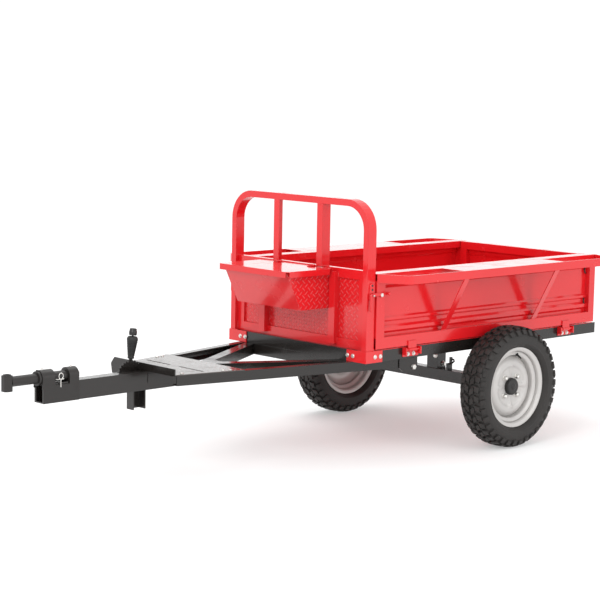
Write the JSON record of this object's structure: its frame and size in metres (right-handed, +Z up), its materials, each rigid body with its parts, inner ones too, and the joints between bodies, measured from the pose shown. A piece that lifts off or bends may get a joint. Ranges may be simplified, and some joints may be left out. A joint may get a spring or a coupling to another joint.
{
  "type": "tow behind cart",
  "caption": "Single-axle dropside tow cart with toolbox seat, backrest hoop, V drawbar, swivel hitch, brake lever and pneumatic wheels.",
  "frame": {"origin": "centre of the bounding box at ground level", "axes": "+X forward to the hitch, +Y to the cart's left, +Z up"},
  "size_m": [3.24, 1.248, 1.175],
  "materials": {
    "red_paint": "gloss",
    "black_paint": "semi-gloss",
    "wheel_silver": "satin metallic",
    "zinc": "bright zinc plated",
    "tyre": "matte",
    "grip": "matte",
    "button": "satin"
  },
  "bodies": {
    "frame": {"rail_l": "black_paint", "rail_r": "black_paint", "crossmembers": "black_paint", "crossmember_lower": "black_paint", "bed_floor": "red_paint", "axle_beam": "black_paint", "axle_stands": "black_paint", "axle_hangers": "black_paint", "guard_hoop": "red_paint", "guard_bars": "red_paint", "headboard_frame": "red_paint", "headboard_panel": "red_paint", "toolbox_supports": "red_paint", "foot_plates": "red_paint", "frame_bolts": "zinc", "toolbox_body": "red_paint", "toolbox_hinges": "red_paint", "hinge_brackets": "red_paint", "tail_hinges": "red_paint", "drawbar_beam": "black_paint", "drawbar_arm_l": "black_paint", "drawbar_arm_r": "black_paint", "arm_brackets": "black_paint", "drawbar_braces": "black_paint", "foot_platform": "black_paint", "toe_board": "black_paint", "stand_foot": "black_paint", "hitch_housing": "black_paint", "swivel_clip": "zinc", "brake_quadrant": "black_paint"},
    "wheel_l": {"tyre_l": "tyre", "rim_l": "wheel_silver", "hub_l": "black_paint", "lug_nuts_l": "zinc"},
    "wheel_r": {"tyre_r": "tyre", "rim_r": "wheel_silver", "hub_r": "black_paint", "lug_nuts_r": "zinc"},
    "gate_l": {"gate_frame_l": "red_paint", "gate_panel_l": "red_paint", "shelf_rail_l": "red_paint", "shelf_plate_l": "red_paint"},
    "gate_r": {"gate_frame_r": "red_paint", "gate_panel_r": "red_paint", "shelf_rail_r": "red_paint", "shelf_plate_r": "red_paint"},
    "tailgate": {"tailgate_frame": "red_paint", "tailgate_panel": "red_paint"},
    "catch_front_l": {"latch_fl": "red_paint"},
    "catch_front_r": {"latch_fr": "red_paint"},
    "catch_rear_l": {"latch_rl": "red_paint"},
    "catch_rear_r": {"latch_rr": "red_paint"},
    "lid": {"toolbox_lid": "red_paint"},
    "swivel": {"hitch_shaft": "black_paint", "hitch_collars": "black_paint", "hitch_head": "black_paint"},
    "lever": {"brake_lever": "black_paint", "brake_grip": "grip"},
    "button": {"brake_button": "button"}
  },
  "joints": [
    {"name": "wheel_spin_l", "type": "hinge", "parent": "frame", "child": "wheel_l", "pos_m": [-0.827, 0.552, 0.285], "axis": [0, 1, 0], "continuous": true},
    {"name": "gate_hinge_l", "type": "hinge", "parent": "frame", "child": "gate_l", "pos_m": [-0.8, 0.463, 0.5], "axis": [-1, 0, 0], "range_deg": [0, 27]},
    {"name": "wheel_spin_r", "type": "hinge", "parent": "frame", "child": "wheel_r", "pos_m": [-0.827, -0.552, 0.285], "axis": [0, 1, 0], "continuous": true},
    {"name": "gate_hinge_r", "type": "hinge", "parent": "frame", "child": "gate_r", "pos_m": [-0.8, -0.463, 0.5], "axis": [1, 0, 0], "range_deg": [0, 27]},
    {"name": "tailgate_hinge", "type": "hinge", "parent": "frame", "child": "tailgate", "pos_m": [-1.612, 0, 0.5], "axis": [0, -1, 0], "range_deg": [0, 170]},
    {"name": "front_catch_l", "type": "hinge", "parent": "gate_l", "child": "catch_front_l", "pos_m": [-0.051, 0.4615, 0.76], "axis": [0, -1, 0], "range_deg": [0, 50]},
    {"name": "rear_catch_l", "type": "hinge", "parent": "tailgate", "child": "catch_rear_l", "pos_m": [-1.579, 0.364, 0.76], "axis": [1, 0, 0], "range_deg": [0, 60]},
    {"name": "front_catch_r", "type": "hinge", "parent": "gate_r", "child": "catch_front_r", "pos_m": [-0.051, -0.4615, 0.76], "axis": [0, -1, 0], "range_deg": [0, 50]},
    {"name": "rear_catch_r", "type": "hinge", "parent": "tailgate", "child": "catch_rear_r", "pos_m": [-1.579, -0.364, 0.76], "axis": [-1, 0, 0], "range_deg": [0, 60]},
    {"name": "lid_hinge", "type": "hinge", "parent": "frame", "child": "lid", "pos_m": [0.041, 0, 0.866], "axis": [0, -1, 0], "range_deg": [0, 88]},
    {"name": "hitch_swivel", "type": "hinge", "parent": "frame", "child": "swivel", "pos_m": [1.4, 0, 0.482], "axis": [1, 0, 0], "range_deg": [-90, 90]},
    {"name": "brake_lever_pivot", "type": "hinge", "parent": "frame", "child": "lever", "pos_m": [0.959, -0.036, 0.436], "axis": [0, 1, 0], "range_deg": [0, 42]},
    {"name": "brake_button_press", "type": "slide", "parent": "lever", "child": "button", "axis": [0.1045, 0, -0.9945], "range_m": [0, 0.004], "stiffness_N_per_m": 500, "springref_m": -0.002}
  ]
}
